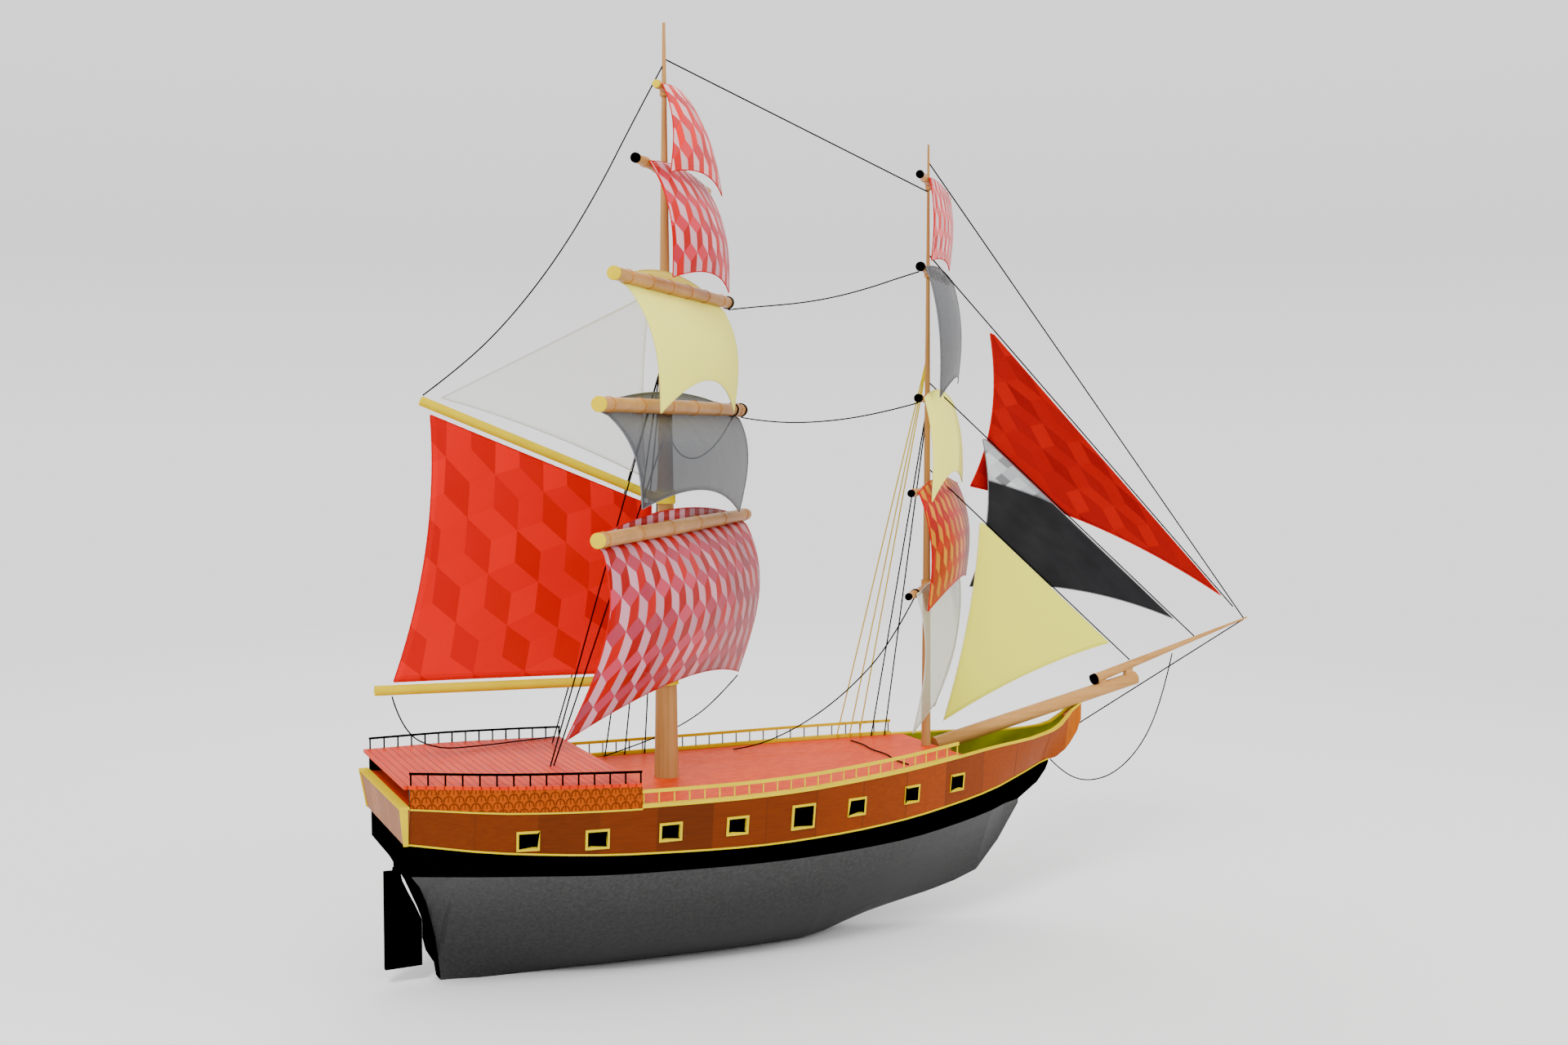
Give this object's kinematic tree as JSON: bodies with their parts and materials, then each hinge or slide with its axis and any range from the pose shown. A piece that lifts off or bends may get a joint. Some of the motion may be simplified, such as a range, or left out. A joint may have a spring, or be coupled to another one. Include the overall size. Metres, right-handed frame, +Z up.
{
  "type": "model sailing ship",
  "caption": "Decorative two-masted model sailing ship with square sails, a gaff sail, jibs, rigging lines, gun ports and a turning rudder.",
  "frame": {"origin": "on the main mast's axis, at the flat underside of the keel", "axes": "+X towards the bow, +Y to port, +Z up"},
  "size_m": [0.6788, 0.2607, 0.6184],
  "materials": {
    "grey_hull": "satin grey paint",
    "black_paint": "black paint",
    "brown_planking": "varnished brown planks",
    "transom_wood": "pinkish brown wood",
    "core_wood": "unfinished wood",
    "deck_planking": "orange stained planks",
    "carved_panel": "carved orange-brown panel",
    "olive_paint": "olive green paint",
    "yellow_paint": "bright yellow paint",
    "spar_wood": "tan wood",
    "red_cloth": "red patterned cloth",
    "cream_cloth": "cream cloth",
    "dark_cloth": "dark grey cloth",
    "grey_cloth": "sheer grey cloth",
    "clear_cloth": "sheer white cloth",
    "black_line": "twisted black thread"
  },
  "bodies": {
    "root": {"boom_sheet": "black_line", "bow_lining": "olive_paint", "bowsprit": "spar_wood", "deck_rope": "black_line", "fore_course_brace": "black_line", "fore_mast": "spar_wood", "fore_staysail": "cream_cloth", "gaff_peak_line": "black_line", "gun_ports": "yellow_paint", "head_chocks": "spar_wood", "hull_core": "core_wood", "hull_trims": "yellow_paint", "inner_jib": "dark_cloth", "jib_boom": "spar_wood", "jib_boom_line": "black_line", "lower_hull": "grey_hull", "main_course_sheet": "black_line", "main_deck": "deck_planking", "main_lower_brace": "black_line", "main_mast": "spar_wood", "main_topsail_brace": "black_line", "main_yard_lift": "black_line", "outer_jib": "red_cloth", "quarterdeck": "deck_planking", "quarterdeck_rails": "black_paint", "quarterdeck_walls": "carved_panel", "shrouds": "black_line", "side_planking": "brown_planking", "stays": "black_line", "stem_head": "brown_planking", "stern_timbers": "black_paint", "transom": "transom_wood", "waist_rails": "yellow_paint", "wale": "black_paint"},
    "rudder": {"rudder_blade": "black_paint", "rudder_stock": "black_paint"},
    "boom": {"boom": "yellow_paint"},
    "gaff": {"gaff": "yellow_paint", "spanker": "red_cloth", "gaff_topsail": "clear_cloth"},
    "main_royal": {"main_royal_yard": "spar_wood", "main_royal_sail": "red_cloth"},
    "main_topgallant": {"main_topgallant_yard": "spar_wood", "main_topgallant_sail": "red_cloth"},
    "main_upper_topsail": {"main_upper_topsail_yard": "spar_wood", "main_upper_topsail_sail": "cream_cloth"},
    "main_lower_topsail": {"main_lower_topsail_yard": "spar_wood", "main_lower_topsail_sail": "grey_cloth"},
    "main_course": {"main_course_yard": "spar_wood", "main_course_sail": "red_cloth"},
    "fore_royal": {"fore_royal_yard": "spar_wood", "fore_royal_sail": "red_cloth"},
    "fore_topgallant": {"fore_topgallant_yard": "spar_wood", "fore_topgallant_sail": "grey_cloth"},
    "fore_upper_topsail": {"fore_upper_topsail_yard": "spar_wood", "fore_upper_topsail_sail": "cream_cloth"},
    "fore_lower_topsail": {"fore_lower_topsail_yard": "spar_wood", "fore_lower_topsail_sail": "red_cloth"},
    "fore_course": {"fore_course_yard": "spar_wood", "fore_course_sail": "clear_cloth"}
  },
  "joints": [
    {"name": "rudder_turn", "type": "hinge", "parent": "root", "child": "rudder", "pos_m": [-0.182, 0, 0.07], "axis": [0, 0, 1], "range_deg": [-35, 35]},
    {"name": "boom_swing", "type": "hinge", "parent": "root", "child": "boom", "pos_m": [0, 0, 0.1845], "axis": [0, 0, 1], "range_deg": [-18, 5], "deforming": ["boom_sheet"]},
    {"name": "gaff_swing", "type": "hinge", "parent": "root", "child": "gaff", "pos_m": [0, 0, 0.3063], "axis": [0, 0, 1], "range_deg": [-18, 5], "deforming": ["gaff_peak_line"]},
    {"name": "main_royal_swing", "type": "hinge", "parent": "root", "child": "main_royal", "pos_m": [0, 0, 0.5725], "axis": [0, 0, 1], "range_deg": [-8, 8]},
    {"name": "main_topgallant_swing", "type": "hinge", "parent": "root", "child": "main_topgallant", "pos_m": [0, 0, 0.5185], "axis": [0, 0, 1], "range_deg": [-8, 8]},
    {"name": "main_upper_topsail_swing", "type": "hinge", "parent": "root", "child": "main_upper_topsail", "pos_m": [0, 0, 0.4437], "axis": [0, 0, 1], "range_deg": [-8, 8], "deforming": ["main_topsail_brace"]},
    {"name": "main_lower_topsail_swing", "type": "hinge", "parent": "root", "child": "main_lower_topsail", "pos_m": [0, 0, 0.3657], "axis": [0, 0, 1], "range_deg": [-8, 8], "deforming": ["main_lower_brace", "main_yard_lift"]},
    {"name": "main_course_swing", "type": "hinge", "parent": "root", "child": "main_course", "pos_m": [0, 0, 0.287], "axis": [0, 0, 1], "range_deg": [-8, 8], "deforming": ["main_course_sheet"]},
    {"name": "fore_royal_swing", "type": "hinge", "parent": "root", "child": "fore_royal", "pos_m": [0.1985, 0, 0.5224], "axis": [0, 0, 1], "range_deg": [-8, 8]},
    {"name": "fore_topgallant_swing", "type": "hinge", "parent": "root", "child": "fore_topgallant", "pos_m": [0.1985, 0, 0.4609], "axis": [0, 0, 1], "range_deg": [-8, 8]},
    {"name": "fore_upper_topsail_swing", "type": "hinge", "parent": "root", "child": "fore_upper_topsail", "pos_m": [0.1985, 0, 0.3722], "axis": [0, 0, 1], "range_deg": [-8, 8]},
    {"name": "fore_lower_topsail_swing", "type": "hinge", "parent": "root", "child": "fore_lower_topsail", "pos_m": [0.1985, 0, 0.3091], "axis": [0, 0, 1], "range_deg": [-8, 8]},
    {"name": "fore_course_swing", "type": "hinge", "parent": "root", "child": "fore_course", "pos_m": [0.1985, 0, 0.2418], "axis": [0, 0, 1], "range_deg": [-8, 8], "deforming": ["fore_course_brace"]}
  ],
  "couplings": [
    {"joint": "gaff_swing", "follows": "boom_swing", "ratio": 1},
    {"joint": "main_royal_swing", "follows": "main_course_swing", "ratio": 1},
    {"joint": "main_topgallant_swing", "follows": "main_course_swing", "ratio": 1},
    {"joint": "main_upper_topsail_swing", "follows": "main_course_swing", "ratio": 1},
    {"joint": "main_lower_topsail_swing", "follows": "main_course_swing", "ratio": 1},
    {"joint": "fore_royal_swing", "follows": "fore_course_swing", "ratio": 1},
    {"joint": "fore_topgallant_swing", "follows": "fore_course_swing", "ratio": 1},
    {"joint": "fore_upper_topsail_swing", "follows": "fore_course_swing", "ratio": 1},
    {"joint": "fore_lower_topsail_swing", "follows": "fore_course_swing", "ratio": 1}
  ]
}
